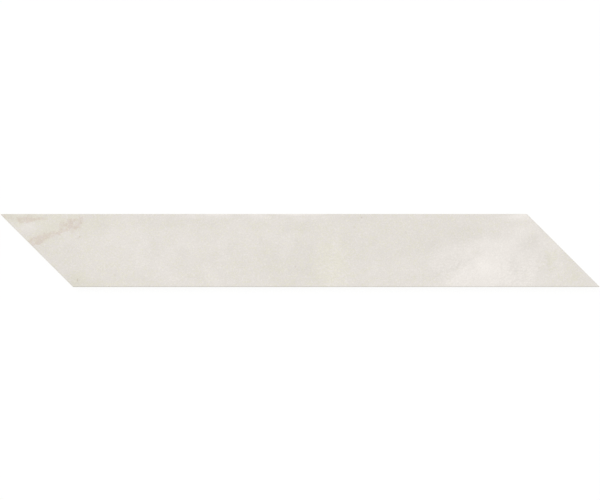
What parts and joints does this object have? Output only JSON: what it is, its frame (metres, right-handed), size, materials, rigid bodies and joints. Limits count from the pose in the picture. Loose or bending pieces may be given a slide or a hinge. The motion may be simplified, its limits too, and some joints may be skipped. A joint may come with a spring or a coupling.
{
  "type": "chevron wall tile",
  "caption": "Long parallelogram wall tile of glazed porcelain, with both ends mitred at 45 degrees, for laying in a chevron pattern.",
  "frame": {"origin": "middle of the back, on the plane of its ribs", "axes": "+X along the long edges, +Y across the tile to the long edge whose left end is a sharp tip, +Z out of the glazed face"},
  "size_m": [0.6, 0.073, 0.009],
  "materials": {
    "glazed_porcelain": "satin"
  },
  "bodies": {
    "root": {"chevron_tile": "glazed_porcelain"}
  },
  "joints": []
}
